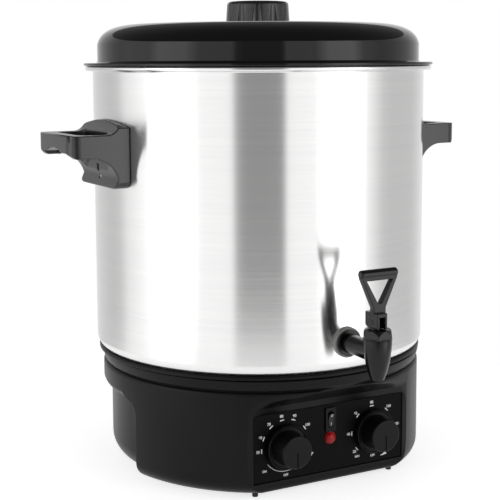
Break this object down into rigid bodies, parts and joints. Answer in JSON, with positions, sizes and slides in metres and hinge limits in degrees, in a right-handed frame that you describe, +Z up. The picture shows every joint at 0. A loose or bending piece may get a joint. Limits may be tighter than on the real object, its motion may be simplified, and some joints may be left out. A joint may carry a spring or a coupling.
{
  "type": "mulled wine boiler",
  "caption": "Free-standing drink boiler: a steel kettle with lid, side handles and lever tap on a moulded base with two dials, a pilot lamp and a rocker switch.",
  "frame": {"origin": "middle of the part's outline on the surface that its feet stand on", "axes": "+Z up along the kettle's axis, -Y towards the tap and the control panel, +X to the right-hand handle seen from behind the panel"},
  "size_m": [0.466, 0.4292, 0.4905],
  "materials": {
    "brushed_steel": "brushed round the kettle",
    "gloss_black": "polished moulding",
    "satin_black": "satin moulding",
    "panel_black": "printed satin plate",
    "tap_black": "fine moulded grain",
    "silicone": "soft translucent grey",
    "lamp_red": "clear red",
    "foot_rubber": "plain",
    "zinc": "zinc plated",
    "spring_steel": "drawn wire",
    "heater_aluminium": "rolled",
    "element_steel": "heat stained",
    "copper": "drawn copper",
    "device_plastic": "plain moulding",
    "wire_sleeve": "silicone sleeve"
  },
  "bodies": {
    "boiler": {"kettle": "brushed_steel", "collar_ring": "satin_black", "base_housing": "satin_black", "bottom_plate": "satin_black", "bottom_screws": "zinc", "feet": "foot_rubber", "control_panel": "panel_black", "thermostat": "device_plastic", "timer": "device_plastic", "lamp_lens": "lamp_red", "lamp_holder": "device_plastic", "switch_body": "satin_black", "cord_gland": "satin_black", "terminal_block": "device_plastic", "heating_plate": "heater_aluminium", "heating_element": "element_steel", "thermal_cutout": "device_plastic", "sensor_bulb": "copper", "capillary": "copper", "wiring": "wire_sleeve", "kettle_studs": "zinc", "stud_nuts": "zinc", "left_handle": "satin_black", "right_handle": "satin_black", "handle_screws": "zinc", "tap_body": "tap_black", "tap_washer": "silicone", "tap_gasket": "silicone", "tap_nut": "tap_black", "tap_bonnet": "tap_black", "tap_spring": "spring_steel"},
    "lid_cover": {"lid": "gloss_black", "lid_crown": "gloss_black", "lid_knob": "gloss_black", "lid_screw": "zinc"},
    "thermostat_dial": {"thermostat_knob": "satin_black", "thermostat_shaft": "zinc"},
    "timer_dial": {"timer_knob": "satin_black", "timer_shaft": "zinc"},
    "power_rocker": {"switch_rocker": "gloss_black"},
    "valve_plunger": {"tap_stem": "tap_black", "tap_seat": "silicone"},
    "lever": {"tap_lever": "tap_black", "lever_pin": "zinc"}
  },
  "joints": [
    {"name": "lid_lift", "type": "slide", "parent": "boiler", "child": "lid_cover", "axis": [0, 0, 1], "range_m": [0, 0.15]},
    {"name": "thermostat_turn", "type": "hinge", "parent": "boiler", "child": "thermostat_dial", "pos_m": [-0.052, -0.11883, 0.05], "axis": [0, 1, 0], "range_deg": [0, 290]},
    {"name": "timer_turn", "type": "hinge", "parent": "boiler", "child": "timer_dial", "pos_m": [0.052, -0.11883, 0.05], "axis": [0, 1, 0], "range_deg": [-30, 266]},
    {"name": "switch_rock", "type": "hinge", "parent": "boiler", "child": "power_rocker", "pos_m": [0, -0.11783, 0.0695], "axis": [-1, 0, 0], "range_deg": [0, 16]},
    {"name": "stem_lift", "type": "slide", "parent": "boiler", "child": "valve_plunger", "axis": [0, 0, 1], "range_m": [0, 0.0051], "deforming": ["tap_spring"]},
    {"name": "lever_tilt", "type": "hinge", "parent": "valve_plunger", "child": "lever", "pos_m": [0, -0.20087, 0.1852], "axis": [-1, 0, 0], "range_deg": [0, 45], "stiffness_Nm_per_rad": 0.25, "springref_deg": -14.32}
  ],
  "couplings": [
    {"joint": "stem_lift", "follows": "lever_tilt", "m_per_rad": 0.0063662}
  ]
}
